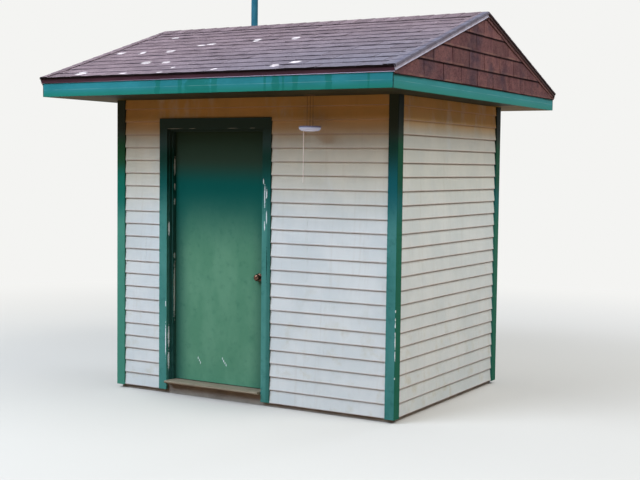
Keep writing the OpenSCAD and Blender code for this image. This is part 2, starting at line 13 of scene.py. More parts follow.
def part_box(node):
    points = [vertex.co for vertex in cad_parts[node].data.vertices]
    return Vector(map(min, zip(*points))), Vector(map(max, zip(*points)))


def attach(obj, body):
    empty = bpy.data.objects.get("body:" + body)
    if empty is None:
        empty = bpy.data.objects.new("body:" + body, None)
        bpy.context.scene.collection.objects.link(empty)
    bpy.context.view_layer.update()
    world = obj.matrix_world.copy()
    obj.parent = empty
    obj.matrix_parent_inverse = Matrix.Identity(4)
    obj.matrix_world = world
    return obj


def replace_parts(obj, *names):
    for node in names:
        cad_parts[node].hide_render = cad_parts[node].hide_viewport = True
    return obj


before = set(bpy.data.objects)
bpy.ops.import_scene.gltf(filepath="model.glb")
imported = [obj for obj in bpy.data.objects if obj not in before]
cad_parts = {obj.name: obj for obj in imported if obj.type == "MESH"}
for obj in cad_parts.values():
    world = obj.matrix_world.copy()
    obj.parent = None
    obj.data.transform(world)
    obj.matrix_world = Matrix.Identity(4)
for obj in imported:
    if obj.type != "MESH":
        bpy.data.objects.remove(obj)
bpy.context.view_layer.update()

MM = 0.001
X, Y, Z = range(3)
RNG = random.Random(41)

# Where the photograph was taken from, and its angle of view on a frame of 640 by 480
EYE = (4.826, -8.123, 1.800)
YAW_DEG = 30.29
PITCH_DOWN_DEG = 3.643
ROLL_DEG = 0.681
LENS_MM = 64.917
SENSOR_MM = 36.0


def stand_camera():
    """Camera at eye height in front of the right front corner."""
    data = bpy.data.cameras.new("camera")
    data.lens = LENS_MM
    data.sensor_width = SENSOR_MM
    camera = bpy.data.objects.new("camera", data)
    bpy.context.scene.collection.objects.link(camera)
    turn = Matrix.Rotation(math.radians(YAW_DEG), 4, "Z")
    tilt = Matrix.Rotation(math.radians(90 - PITCH_DOWN_DEG), 4, "X")
    roll = Matrix.Rotation(math.radians(ROLL_DEG), 4, "Z")
    camera.matrix_world = Matrix.Translation(EYE) @ turn @ tilt @ roll
    bpy.context.scene.camera = camera


stand_camera()

# Faces of the building, read from the frame
DECK_LOW, DECK_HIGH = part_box("roof_deck_front")
RAKE_X = DECK_HIGH.x
EAVE_Y = -DECK_LOW.y
PITCH = 4 / 12
ROOF_ANGLE = math.atan(PITCH)
RIDGE_Z = DECK_HIGH.z - DECK_HIGH.y * PITCH
DECK_Z = RIDGE_Z - EAVE_Y * PITCH
SLOPE_L = EAVE_Y / math.cos(ROOF_ANGLE)
FASCIA_LOW, FASCIA_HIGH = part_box("eave_fascias")
FASCIA_MIDDLE = (FASCIA_LOW.z + FASCIA_HIGH.z) / 2
GABLE_X = FASCIA_HIGH.x
SIDING_LOW, SIDING_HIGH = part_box("front_siding")
SIDING_FOOT = SIDING_LOW.z
SHEATHING_Y = -SIDING_HIGH.y
CORNER_LOW, CORNER_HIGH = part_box("front_corner_boards")
FACE_X = CORNER_HIGH.x
FACE_Y = -CORNER_LOW.y
LEAF_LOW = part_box("door_leaf")[0]
CASING_LOW, CASING_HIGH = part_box("door_side_casings")
GABLE_LOW, GABLE_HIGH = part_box("gable_shingles")

# Lap siding: what each course shows, and its thickness at the lower and upper edge
COURSE = 0.1
BUTT = 0.015
FEATHER = 0.005

# Three-tab asphalt shingle: what shows of each course, tab width, slot, sheet thickness, how far
# the sheets lie off the deck, and how far they reach over the eave
EXPOSURE = 0.127
TAB = 0.305
SLOT = 0.007
SHEET = 0.004
SHINGLE_BASE = 0.005
EAVE_LIP = 0.014
# How far a row runs up under the next, and the full sheet that shows in the slots: its thickness,
# its gap under the tabs and how far back its foot lies
LAP = 0.002
FELT = 0.001
CLEAR = 0.0002
SET_BACK = 0.003

FRONT_SLOPE = Matrix.Translation((0, -EAVE_Y, DECK_Z)) @ Matrix.Rotation(ROOF_ANGLE, 4, "X")
BACK_SLOPE = Matrix.Rotation(math.pi, 4, "Z") @ FRONT_SLOPE
# Turns a drawing of a wall, x along it and y up, to face +X, with its own z outwards
RIGHT_GABLE = Matrix(((0, 0, 1, GABLE_X), (1, 0, 0, 0), (0, 1, 0, 0), (0, 0, 0, 1)))
LEFT_GABLE = Matrix.Rotation(math.pi, 4, "Z") @ RIGHT_GABLE


# Shader nodes

def colour(text):
    """Linear RGBA of an sRGB hex colour."""
    channels = [int(text[i:i + 2], 16) / 255 for i in (1, 3, 5)]
    return (*[c / 12.92 if c <= 0.04045 else ((c + 0.055) / 1.055) ** 2.4 for c in channels], 1)


def add(tree, kind, inputs=None, **settings):
    """Adds a node with its settings, and sets or links its inputs."""
    node = tree.nodes.new("ShaderNode" + kind)
    for name, value in settings.items():
        setattr(node, name, value)
    for socket, value in (inputs or {}).items():
        if isinstance(value, bpy.types.NodeSocket):
            tree.links.new(value, node.inputs[socket])
        else:
            node.inputs[socket].default_value = value
    return node


def begin(name):
    """A new material, its empty tree and the place of a point on the object."""
    material = bpy.data.materials.new(name)
    material.use_nodes = True
    tree = material.node_tree
    tree.nodes.clear()
    return material, tree, add(tree, "TexCoord").outputs["Object"]


def mottle(tree, place, size_mm, low, high, stretch=(1, 1, 1), shift=0.0, detail=4):
    """0 to 1 in soft patches of a real size, with the noise between low and high spread out."""
    moved = add(tree, "Mapping", {
        "Vector": place, "Location": (shift, 2 * shift, 3 * shift), "Scale": stretch})
    noise = add(tree, "TexNoise", {
        "Vector": moved.outputs[0], "Scale": 1000 / size_mm, "Detail": detail, "Roughness": 0.6})
    return add(tree, "MapRange", {
        "Value": noise.outputs[0], "From Min": low, "From Max": high},
        interpolation_type="SMOOTHSTEP").outputs[0]


def along(tree, place, axis, start, end):
    """0 to 1 from start to end along x, y or z."""
    parts = add(tree, "SeparateXYZ", {0: place})
    return add(tree, "MapRange", {
        "Value": parts.outputs[axis], "From Min": start, "From Max": end},
        interpolation_type="SMOOTHSTEP").outputs[0]


def product(tree, *values):
    """Product of several factors."""
    total = values[0]
    for value in values[1:]:
        total = add(tree, "Math", {0: total, 1: value}, operation="MULTIPLY").outputs[0]
    return total


def lay_over(tree, base, hex_colour, *shares, blend="MIX"):
    """Lays a colour over a base, as thick as the product of some shares from 0 to 1."""
    return add(tree, "Mix", {0: product(tree, *shares), 6: base, 7: colour(hex_colour)},
               data_type="RGBA", blend_type=blend).outputs[2]


def near_spots(tree, place, spots, ragged_mm=20):
    """1 inside any of some spots, each a centre and its radii, and 0 outside, with a noise that
    moves their edges in and out."""
    noise = add(tree, "TexNoise", {"Vector": place, "Scale": 1000 / ragged_mm, "Detail": 3})
    # The distance in radii to the nearest spot starts from one that is far enough for any point
    least = 9.0
    for centre, radii in spots:
        offset = add(tree, "VectorMath", {0: place, 1: centre}, operation="SUBTRACT").outputs[0]
        scaled = add(tree, "VectorMath", {0: offset, 1: radii}, operation="DIVIDE").outputs[0]
        length = add(tree, "VectorMath", {0: scaled}, operation="LENGTH").outputs["Value"]
        least = add(tree, "Math", {0: length, 1: least}, operation="MINIMUM").outputs[0]
    ragged = 1.6
    rough = add(tree, "Math", {
        0: noise.outputs[0], 1: ragged, 2: least}, operation="MULTIPLY_ADD").outputs[0]
    return add(tree, "MapRange", {
        "Value": rough, "From Min": ragged + 0.3, "From Max": ragged}).outputs[0]


def under_butts(tree, height, first, spacing, depth):
    """1 in the band right under the lower edge of each lapped row, where dirt gathers and the lap's
    shadow falls, else 0. It is full over the upper 0.6 of its depth."""
    rows = add(tree, "MapRange", {
        "Value": height, "From Min": first, "From Max": first + spacing}, clamp=False).outputs[0]
    rise = add(tree, "Math", {0: rows}, operation="FRACT").outputs[0]
    return add(tree, "MapRange", {
        "Value": rise, "From Min": 1 - depth / spacing,
        "From Max": 1 - 0.6 * depth / spacing}).outputs[0]


def shaded(tree, place, base, shades):
    """Lays colours over a base, each with where it begins and is full along some axes, and its
    share."""
    for *parts, share, hex_colour in shades:
        reach = [along(tree, place, *part) for part in parts]
        base = lay_over(tree, base, hex_colour, *reach, share)
    return base


def close(material, tree, base, roughness, height=None, depth_mm=1.0, glow=None, **fixed):
    """Ends a material in one shader, with a bump of a real depth, and a glow if it has a colour."""
    shader = add(tree, "BsdfPrincipled", {"Base Color": base, "Roughness": roughness})
    for socket, value in fixed.items():
        shader.inputs[socket.replace("_", " ")].default_value = value
    if glow is not None:
        tree.links.new(glow, shader.inputs["Emission Color"])
    if height is not None:
        bump = add(tree, "Bump", {"Height": height, "Distance": depth_mm * MM, "Strength": 1.0})
        tree.links.new(bump.outputs[0], shader.inputs["Normal"])
    output = add(tree, "OutputMaterial")
    tree.links.new(shader.outputs[0], output.inputs[0])
    return material


# Materials

def eave_stain_and_shade(tree, place, base):
    """Yellows the skin with height, more on the front, and browns it under the eave, each a stain and
    painted warm shade together. Lays a band of painted light along the foot of the brown on the
    front and painted shade over the top of the right wall, and darkens the left end of the front
    from about a metre up."""
    right_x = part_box("right_siding")[0].x
    front = along(tree, place, X, right_x, SIDING_HIGH.x)
    right = along(tree, place, X, SIDING_HIGH.x, right_x)
    cloudy = mottle(tree, place, 200, 0.1, 0.5, stretch=(1, 1, 0.4), shift=5)
    # Yellowing with height, more on the front: a stain and painted warm shade together
    yellowed_and_warm_shade = product(tree, along(tree, place, Z, 1.3, 1.85), cloudy)
    base = lay_over(tree, base, "#fffbf2", yellowed_and_warm_shade, blend="MULTIPLY")
    base = lay_over(tree, base, "#fffaf0", yellowed_and_warm_shade, front, blend="MULTIPLY")
    # Brown under the eave: a tannin stain and painted warm shade together
    brown = product(tree, along(tree, place, Z, 2.0, 2.17), cloudy)
    base = lay_over(tree, base, "#fcd295", brown, blend="MULTIPLY")
    # A band of painted light along the foot of the brown, on the front
    painted_light_band = product(tree, along(tree, place, Z, 1.98, 2.1), along(tree, place, Z, 2.17, 2.13), front, 0.4)
    base = lay_over(tree, base, "#f4deb4", painted_light_band)
    # Painted shade over the top of the right wall
    dull = product(tree, right, along(tree, place, Z, 1.25, 2.05), along(tree, place, Z, 2.12, 2.06), 0.45)
    base = lay_over(tree, base, "#d8d7dc", dull, blend="MULTIPLY")
    left_end = product(tree, front, along(tree, place, X, -0.85, -1.2), along(tree, place, Z, 0.7, 1.3))
    return lay_over(tree, base, "#f3f2ef", left_end, blend="MULTIPLY")


def lap_dirt_and_shade(tree, place, base):
    """Along each lap, a painted highlight on the lower edge, dirt and painted shade on the nose,
    and painted shadow with dirt under it.
    """
    z = add(tree, "SeparateXYZ", {0: place}).outputs[Z]
    # Painted highlight low on each course, its nose darkened by dirt and painted shade, and painted shadow
    # with dirt under the butt
    for rise, depth, share, hex_colour in (
            (0.007, 0.007, 0.35, "#ddd0cc"), (0.004, 0.004, 0.5, "#888288"), (0, 0.01, 0.3, "#7c7276")):
        band = under_butts(tree, z, SIDING_FOOT + rise, COURSE, depth)
        base = lay_over(tree, base, hex_colour, band, share)
    return base


def coated_siding():
    """Coated lap siding: an eggshell skin gone chalky, with faint rain streaks, a line of dirt and
    painted shadow along each lap, and a brown tannin stain with painted warm shade where the eave
    keeps the rain off."""
    material, tree, place = begin("coated_siding")
    chalk = mottle(tree, place, 260, 0.35, 0.65)
    base = lay_over(tree, colour("#c9d5d7"), "#d2dcdd", chalk)
    streaks = mottle(tree, place, 30, 0.5, 0.75, stretch=(1, 1, 0.04), shift=3)
    base = lay_over(tree, base, "#a39a85", streaks, 0.12)
    smudges = product(tree, mottle(tree, place, 130, 0.52, 0.74, shift=8), along(tree, place, Z, 1.3, 0.2))
    base = lay_over(tree, base, "#aeab86", smudges, 0.3)
    base = eave_stain_and_shade(tree, place, base)
    base = lap_dirt_and_shade(tree, place, base)
    grit = mottle(tree, place, 4, 0.3, 0.7, shift=1)
    return close(material, tree, base, 0.55, grit, 0.12, Specular_IOR_Level=0.06)


def enamel(name, fresh, faded, dirt, dirt_share, shades, peel=(), cracks=()):
    """Brushed green enamel on softwood: grain telegraphs through, the film is faded in patches, darkened
    by painted shade where the eave and the recesses shade it, and it has peeled to pale primer where
    spots are given."""
    material, tree, place = begin(name)
    fade = mottle(tree, place, 180, 0.35, 0.68, stretch=(1, 1, 0.5))
    base = lay_over(tree, colour(fresh), faded, fade)
    grime = mottle(tree, place, 60, 0.5, 0.75, shift=4)
    base = lay_over(tree, base, dirt, grime, dirt_share)
    # Painted shade and light, and a few other colours, laid by place from the tables of shades
    base = shaded(tree, place, base, shades)
    # Real brush marks are about 2 mm wide, and are drawn wider so that they show
    brush = mottle(tree, place, 9, 0.3, 0.7, stretch=(1, 1, 0.05), shift=2)
    height = brush
    if cracks:
        base = lay_over(tree, base, "#12332d", near_spots(tree, place, cracks, 8))
    if peel:
        bare = near_spots(tree, place, peel, 12)
        base = lay_over(tree, base, "#dcecf0", bare)
        height = add(tree, "Math", {0: brush, 1: bare}, operation="SUBTRACT").outputs[0]
    return close(material, tree, base, 0.5, height, 0.25, Specular_IOR_Level=0.03)


def fascia_enamel(runs, corners):
    """Blue-green enamel on the fascias, greener low down and lighter on the right gable as painted light,
    with dark wet runs from the eave, a pale thread along the middle and open mitres at the corners."""
    material, tree, place = begin("fascia_enamel")
    fade = mottle(tree, place, 140, 0.35, 0.68, stretch=(0.4, 0.4, 1))
    base = lay_over(tree, colour("#26777f"), "#2f858f", fade)
    # Greener low down, and painted light on the right gable's fascia
    base = shaded(tree, place, base, (
        ((Z, FASCIA_LOW.z + 0.07, FASCIA_LOW.z), 1, "#21796c"),
        ((X, GABLE_X - 0.008, GABLE_X - 0.004), 0.4, "#3d8c8e")))
    base = lay_over(tree, base, "#126b5e", near_spots(tree, place, runs, 40), 0.65)
    thread_z = FASCIA_LOW.z + 0.051
    patchy = mottle(tree, place, 150, 0.3, 0.6, shift=9)
    thread = product(tree, along(tree, place, Z, thread_z - 0.0035, thread_z - 0.001),
                     along(tree, place, Z, thread_z + 0.0035, thread_z + 0.001), patchy, 0.2)
    base = lay_over(tree, base, "#8fb9bd", thread)
    base = lay_over(tree, base, "#153f3d", near_spots(tree, place, corners, 30))
    brush = mottle(tree, place, 9, 0.3, 0.7, stretch=(0.05, 0.05, 1), shift=2)
    return close(material, tree, base, 0.5, brush, 0.25, Specular_IOR_Level=0.04)


def slope_dirt_and_shade(tree, place, base):
    """Dirt with painted shadow in broken lines under the rows of a slope, and black on the lip at the
    eave, its dark edge and painted shadow.
    """
    y = add(tree, "SeparateXYZ", {0: place}).outputs[Y]
    from_ridge = add(tree, "Math", {0: y}, operation="ABSOLUTE").outputs[0]
    from_eave = add(tree, "Math", {0: EAVE_Y, 1: from_ridge}, operation="SUBTRACT").outputs[0]
    level = math.cos(ROOF_ANGLE)
    # Dirt and painted shadow in broken lines under each row
    below = under_butts(tree, from_eave, -EAVE_LIP * level, EXPOSURE * level, 0.012)
    broken = mottle(tree, place, 110, 0.42, 0.58, stretch=(0.8, 1, 1), shift=15)
    base = lay_over(tree, base, "#514b57", below, broken, 0.45)
    # The lip at the eave: its dark edge together with painted shadow
    lip = add(tree, "MapRange", {
        "Value": from_ridge, "From Min": EAVE_Y + 0.009, "From Max": EAVE_Y + 0.0115}).outputs[0]
    return lay_over(tree, base, "#1a1316", lip)


def gable_edges_and_shadows(tree, place, base):
    """Lower edges of the rows on a gable paler here and there, and painted shadow, nearly black, under
    them.
    """
    z = add(tree, "SeparateXYZ", {0: place}).outputs[Z]
    edge = 0.014
    above = under_butts(tree, z, GABLE_LOW.z + edge, EXPOSURE, edge)
    worn = mottle(tree, place, 150, 0.4, 0.65, shift=16)
    base = lay_over(tree, base, "#8f7365", above, worn, 0.35)
    # Painted shadow under the lower edge of each row
    below = under_butts(tree, z, GABLE_LOW.z, EXPOSURE, 0.016)
    return lay_over(tree, base, "#1c1114", below, 0.92)


def asphalt_granules(name, blend, shades=(), smoky=None, dirt=None, spots=()):
    """Mineral granules pressed into asphalt felt: a dry, coarse, matt grit in a light, a middle and
    a dark brown, tinted sheet by sheet, with dirt and painted shadow by rows, and with pale worn or
    lichened patches where spots are given."""
    light, middle, dark = blend
    material, tree, place = begin(name)
    base = lay_over(tree, colour(middle), light, mottle(tree, place, 70, 0.3, 0.7, detail=6))
    base = shaded(tree, place, base, shades)
    if smoky:
        base = lay_over(tree, base, smoky, mottle(tree, place, 240, 0.47, 0.68, shift=12), 0.75)
    # Real granules are 1 to 2 mm across, and are drawn coarser so that they show
    grain_mm = 5
    grit = add(tree, "TexVoronoi", {"Vector": place, "Scale": 1000 / grain_mm}, feature="F1")
    speck = add(tree, "SeparateColor", {0: grit.outputs["Color"]}).outputs[0]
    some = add(tree, "MapRange", {
        "Value": speck, "From Min": 0.55, "From Max": 0.95, "To Max": 0.6}).outputs[0]
    base = lay_over(tree, base, dark, some)
    tint = add(tree, "Attribute", attribute_name="tint").outputs["Fac"]
    base = lay_over(tree, base, dark, tint)
    # On a slope this lays dirt with painted shadow under the rows; on a gable, painted shadow under them
    if dirt:
        base = dirt(tree, place, base)
    if spots:
        base = lay_over(tree, base, "#d8d0d2", near_spots(tree, place, spots), 0.95)
    coarse = mottle(tree, place, 4, 0.2, 0.8, shift=6)
    return close(material, tree, base, 0.85, coarse, 0.9, Specular_IOR_Level=0.05)


def sawn_softwood():
    """Sawn spruce framing: pale yellow, straight grain, dry."""
    material, tree, place = begin("sawn_softwood")
    grain = mottle(tree, place, 12, 0.35, 0.65, stretch=(1, 1, 0.08), detail=6)
    base = lay_over(tree, colour("#c9ac79"), "#d9c193", grain)
    return close(material, tree, base, 0.7, grain, 0.3, Specular_IOR_Level=0.3)


def sheathing_plywood():
    """Bare softwood plywood: flowing rotary-cut grain, with butt joints down the middle of a
    wall."""
    material, tree, place = begin("sheathing_plywood")
    bend_mm = 455
    bend = add(tree, "TexNoise", {"Vector": place, "Scale": 1000 / bend_mm, "Detail": 2}).outputs[0]
    # Diagonal bands of scale 1 lie a tenth of 2 pi metres apart
    band_mm = 69.8
    drawn_out = add(tree, "VectorMath", {0: place, 1: (1, 1, 0.12)}, operation="MULTIPLY").outputs[0]
    rings = add(tree, "TexWave", {
        "Vector": drawn_out, "Scale": 200 * math.pi / band_mm, "Distortion": 9.0, "Detail": 3.0,
        "Detail Scale": 1.4},
        wave_type="BANDS", bands_direction="DIAGONAL").outputs[1]
    base = lay_over(tree, colour("#b79a6b"), "#cdb587", rings)
    base = lay_over(tree, base, "#c2a374", bend, 0.5)
    parts = add(tree, "SeparateXYZ", {0: place})
    x = add(tree, "Math", {0: parts.outputs[X]}, operation="ABSOLUTE").outputs[0]
    y = add(tree, "Math", {0: parts.outputs[Y]}, operation="ABSOLUTE").outputs[0]
    nearest = add(tree, "Math", {0: x, 1: y}, operation="MINIMUM").outputs[0]
    joint = add(tree, "MapRange", {"Value": nearest, "From Min": 0.003, "From Max": 0.0015}).outputs[0]
    base = lay_over(tree, base, "#4a3720", joint)
    return close(material, tree, base, 0.65, rings, 0.2, Specular_IOR_Level=0.3)


def cast_concrete():
    """Slab of site-mixed concrete: grey, cloudy, pitted, floated by hand."""
    material, tree, place = begin("cast_concrete")
    cloud = mottle(tree, place, 220, 0.35, 0.65)
    base = lay_over(tree, colour("#8f8c84"), "#a9a69d", cloud)
    sand = mottle(tree, place, 5, 0.3, 0.7, shift=2)
    base = lay_over(tree, base, "#7c7870", sand, 0.35)
    pits = mottle(tree, place, 16, 0.66, 0.7, shift=7)
    height = add(tree, "Math", {0: sand, 1: pits}, operation="SUBTRACT").outputs[0]
    return close(material, tree, base, 0.85, height, 0.8, Specular_IOR_Level=0.25)


def worn_sill():
    """Bare softwood sill, greyed by weather and scuffed by feet."""
    material, tree, place = begin("worn_sill")
    grain = mottle(tree, place, 10, 0.3, 0.7, stretch=(0.05, 1, 1), detail=6)
    base = lay_over(tree, colour("#6f6656"), "#8f8775", grain)
    return close(material, tree, base, 0.75, grain, 0.6, Specular_IOR_Level=0.25)


def soffit_painted_shade():
    """Soffit boards darkened by painted shade, nearly black along the walls, and lighter tan out at the
    open ends as painted light, with butt joints between the boards."""
    material, tree, place = begin("soffit_painted_shade")
    # The boards' tone darkened as painted shade
    cloud = mottle(tree, place, 160, 0.35, 0.7)
    base = lay_over(tree, colour("#2f2f21"), "#3e3d2b", cloud)
    # Lighter at the left end and along the back as painted light
    base = shaded(tree, place, base, (
        ((X, -0.98, -1.12), 1, "#4a4019"), ((Y, 0.68, 0.74), 1, "#75663a")))
    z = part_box("soffit_boards")[0].z
    joints = [((x, -1.2, z), (0.003, 0.4, 0.1)) for x in (-0.9, 0.1, 1.0)]
    joints.append(((1.4, 0.98, z), (0.2, 0.004, 0.1)))
    base = lay_over(tree, base, "#171009", near_spots(tree, place, joints, 30))
    grain = mottle(tree, place, 10, 0.3, 0.7, stretch=(0.06, 1, 1), shift=2)
    return close(material, tree, base, 0.6, grain, 0.2, Specular_IOR_Level=0.04)


def coil_coated_steel():
    """Dark red-brown coated sheet of the eave drip edge, with a pale painted highlight along the hem,
    and painted shadow, nearly black, up under the shingles."""
    material, tree, place = begin("coil_coated_steel")
    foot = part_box("eave_drip_edges")[0].z
    dull = mottle(tree, place, 40, 0.4, 0.7, stretch=(0.2, 1, 1))
    base = lay_over(tree, colour("#3e272e"), "#4c3039", dull)
    # Painted highlight along the hem, brighter to the right, and painted shadow darkening to black up
    # under the shingles
    base = shaded(tree, place, base, (
        ((Z, foot + 0.006, foot + 0.003), (X, -1.8, 1.2), 1, "#aaa4b8"),
        ((Z, foot + 0.012, foot + 0.044), 1, "#150d10")))
    return close(material, tree, base, 0.5, Specular_IOR_Level=0.04)


def rake_aluminium():
    """Coated aluminium edge of the rakes, pale lilac grey on the front slope as a painted reflection of
    the sky, and dark brown on the back one as painted shade."""
    material, tree, place = begin("rake_aluminium")
    dull = mottle(tree, place, 35, 0.35, 0.7)
    base = lay_over(tree, colour("#a5a3b5"), "#908d9f", dull)
    # Dark brown on the back slope as painted shade
    base = shaded(tree, place, base, (((Y, -0.01, 0.01), 1, "#3a2626"),))
    return close(material, tree, base, 0.5, Specular_IOR_Level=0.1)


def weathered_aluminium():
    """Mill-finish sheet of the pipe's flashing, dulled by weather: grey, soft highlights."""
    material, tree, place = begin("weathered_aluminium")
    dull = mottle(tree, place, 35, 0.35, 0.7)
    base = lay_over(tree, colour("#4a4f53"), "#686a70", dull)
    rough = add(tree, "MapRange", {"Value": dull, "To Min": 0.5, "To Max": 0.7}).outputs[0]
    return close(material, tree, base, rough, Metallic=0.7)


def tarnished_brass():
    """Cast brass, lacquer gone: red-brown, with tarnish in patches."""
    material, tree, place = begin("tarnished_brass")
    tarnish = mottle(tree, place, 9, 0.35, 0.7)
    base = lay_over(tree, colour("#80604f"), "#2c1e19", tarnish)
    rough = add(tree, "MapRange", {"Value": tarnish, "To Min": 0.25, "To Max": 0.5}).outputs[0]
    return close(material, tree, base, rough, Metallic=0.9)


def plated_steel(name, hex_colour):
    """Zinc-plated steel, dulled."""
    material, tree, place = begin(name)
    dull = mottle(tree, place, 12, 0.35, 0.7)
    base = lay_over(tree, colour(hex_colour), "#6d6a62", dull)
    rough = add(tree, "MapRange", {"Value": dull, "To Min": 0.35, "To Max": 0.6}).outputs[0]
    return close(material, tree, base, rough, Metallic=0.85)


def rusted_wire():
    """Galvanised wire gone brown with rust."""
    material, tree, place = begin("rusted_wire")
    rust = mottle(tree, place, 15, 0.35, 0.7)
    base = lay_over(tree, colour("#7c6140"), "#5c432c", rust)
    return close(material, tree, base, 0.7, Metallic=0.3)


def painted_pipe():
    """Blue-green paint on the plastic vent pipe, brushed and chalky."""
    material, tree, place = begin("painted_pipe")
    fade = mottle(tree, place, 60, 0.35, 0.7, stretch=(1, 1, 0.3))
    base = lay_over(tree, colour("#1f5a6e"), "#306a7c", fade)
    return close(material, tree, base, 0.5, fade, 0.15, Specular_IOR_Level=0.06)


def milk_glass():
    """Opal lens of the lamp: white and glossy, with a faint painted glow though the lamp is off, and a
    violet band of painted shade under its rim."""
    material, tree, place = begin("milk_glass")
    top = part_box("hanging_lamp")[1].z
    dust = mottle(tree, place, 25, 0.4, 0.7)
    base = lay_over(tree, colour("#d8e2fa"), "#b4bfd6", dust, 0.2)
    # A violet band of painted shade under the rim
    rim = along(tree, place, Z, top - 0.014, top - 0.006)
    base = lay_over(tree, base, "#8088ae", rim)
    # A painted glow, though the lamp is off, dimmer under the rim
    glow = lay_over(tree, colour("#b4d2ff"), "#4c5a80", rim)
    return close(material, tree, base, 0.25, glow=glow, Emission_Strength=0.2)


def white_moulding():
    """White plastic pull rod, warmed by age."""
    material, tree, place = begin("white_moulding")
    dust = mottle(tree, place, 25, 0.4, 0.7)
    base = lay_over(tree, colour("#fbf8f4"), "#dcd5ce", dust, 0.3)
    return close(material, tree, base, 0.35, Specular_IOR_Level=0.5)


# Modelling

def shape():
    """An empty shape whose points can carry a tint."""
    bm = bmesh.new()
    bm.verts.layers.float.new("tint")
    return bm


def newest(bm, start):
    """The points that a shape has gained since it had so many."""
    return list(bm.verts)[start:]


def give_tint(bm, verts, tint):
    """How far some points lean to the dark blend of their granules."""
    layer = bm.verts.layers.float["tint"]
    for vert in verts:
        vert[layer] = tint


def sheet_tint():
    """How far one shingle's granules lean to the dark blend."""
    return RNG.choice((0.0, 0.05, 0.12, 0.2, 0.28)) + RNG.uniform(0, 0.06)


def edges_of(verts):
    """The edges that meet some points, each once and in a fixed order."""
    return list(dict.fromkeys(edge for vert in verts for edge in vert.link_edges))


def board(bm, low, high, place=None, ease=0.0):
    """A squared board between two corners, with its edges eased."""
    low = Vector(low)
    high = Vector(high)
    spot = Matrix.Translation((low + high) / 2) @ Matrix.Diagonal((*(high - low), 1))
    verts = bmesh.ops.create_cube(bm, size=1, matrix=(place or Matrix()) @ spot)["verts"]
    if ease:
        bmesh.ops.bevel(
            bm, geom=edges_of(verts), offset=ease, segments=1, profile=0.5, affect="EDGES", material=-1)


def sheet_tab(bm, place, left, right, foot, length, back, sheet=SHEET, warp=0.0, segments=4, tint=0.0):
    """A flat tab of shingle lying on the course below: left to right, from its foot upwards, its
    back so far off the wall at the foot. Its lower corners may lift a little."""
    start = len(bm.verts)
    middle = Vector(((left + right) / 2, foot + length / 2, back + sheet))
    size = Matrix.Diagonal(((right - left) / 2, length / 2, 1, 1))
    grid = bmesh.ops.create_grid(
        bm, x_segments=segments, y_segments=2, size=1, matrix=Matrix.Translation(middle) @ size)
    faces = list(dict.fromkeys(face for vert in grid["verts"] for face in vert.link_faces))
    lower = bmesh.ops.extrude_face_region(bm, geom=faces)["geom"]
    down = [item for item in lower if isinstance(item, bmesh.types.BMVert)]
    bmesh.ops.translate(bm, verts=down, vec=(0, 0, -sheet))
    tilt = SHEET / EXPOSURE
    phase = RNG.uniform(0, 6.3)
    for vert in newest(bm, start):
        up = vert.co.y - foot
        edge = max(0.0, 1 - up / length)
        ripple = 0.5 + 0.5 * math.sin(phase + 9 * vert.co.x / TAB)
        vert.co.z += warp * ripple * edge * edge - up * tilt
        vert.co = place @ vert.co
    give_tint(bm, newest(bm, start), tint)


def piece(name, bm, material, body="building"):
    """Makes a mesh object of the shape, which rides on a body."""
    bmesh.ops.recalc_face_normals(bm, faces=bm.faces)
    mesh = bpy.data.meshes.new(name)
    bm.to_mesh(mesh)
    bm.free()
    thing = bpy.data.objects.new(name, mesh)
    bpy.context.scene.collection.objects.link(thing)
    mesh.materials.append(material)
    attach(thing, body)
    return thing


def shingle_slope(name, place, node, material):
    """Three-tab shingles on one slope: staggered tabs with open slots over a full sheet."""
    bm = shape()
    rows = math.ceil((SLOPE_L + EAVE_LIP) / EXPOSURE)
    for row in range(rows):
        foot = row * EXPOSURE - EAVE_LIP
        length = min(EXPOSURE + LAP, SLOPE_L - foot)
        under = SHEET if row == 0 else FELT
        sheet_tab(bm, place, -RAKE_X, RAKE_X, foot + SET_BACK, length - LAP,
                  SHINGLE_BASE - under - CLEAR, sheet=under, segments=1, tint=0.55)
        edge = -RAKE_X - (row % 2) * TAB / 2 - RNG.uniform(0, 0.02)
        while edge < RAKE_X:
            left = max(edge + SLOT / 2, -RAKE_X)
            right = min(edge + TAB - SLOT / 2, RAKE_X)
            if right - left > 0.01:
                slip = RNG.uniform(-0.0015, 0.0015)
                sheet_tab(bm, place, left, right, foot + slip, length - slip, SHINGLE_BASE,
                          warp=RNG.choice((0.0, 0.0008, 0.0015, 0.003, 0.0045)), tint=sheet_tint())
            edge += TAB
    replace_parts(piece(name, bm, material), node)


def ridge_caps(material):
    """Caps cut from shingles, folded over the ridge and laid from right to left, each over the
    last. They are pressed down a little on the tabs."""
    bm = shape()
    leg = 0.15
    bend = 0.012
    thin = 0.003
    overlap = 0.02
    lift = 0.0036
    pressed = 0.001
    end = RAKE_X - 0.06
    rise = SHINGLE_BASE + SHEET - pressed
    for number in range(math.ceil(2 * end / EXPOSURE)):
        right = end - number * EXPOSURE
        left = max(right - EXPOSURE - overlap, -end)
        start = len(bm.verts)
        tint = sheet_tint() * 1.4
        width = leg * RNG.uniform(0.96, 1.02)
        board(bm, (left, -width, 0), (right, width, thin))
        edges = edges_of(newest(bm, start))
        across = [edge for edge in edges if abs(edge.verts[0].co.y - edge.verts[1].co.y) > leg]
        bmesh.ops.subdivide_edges(bm, edges=across, cuts=9, use_grid_fill=True)
        for vert in newest(bm, start):
            fold = math.sqrt(vert.co.y ** 2 + bend ** 2) - bend
            tilt = (vert.co.x - left) / (right - left) * lift
            vert.co.z += RIDGE_Z + rise / math.cos(ROOF_ANGLE) - fold * math.tan(ROOF_ANGLE) + tilt
            vert.co.y *= math.cos(ROOF_ANGLE)
        give_tint(bm, newest(bm, start), tint)
    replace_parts(piece("ridge_cap_shingles", bm, material), "ridge_cap")


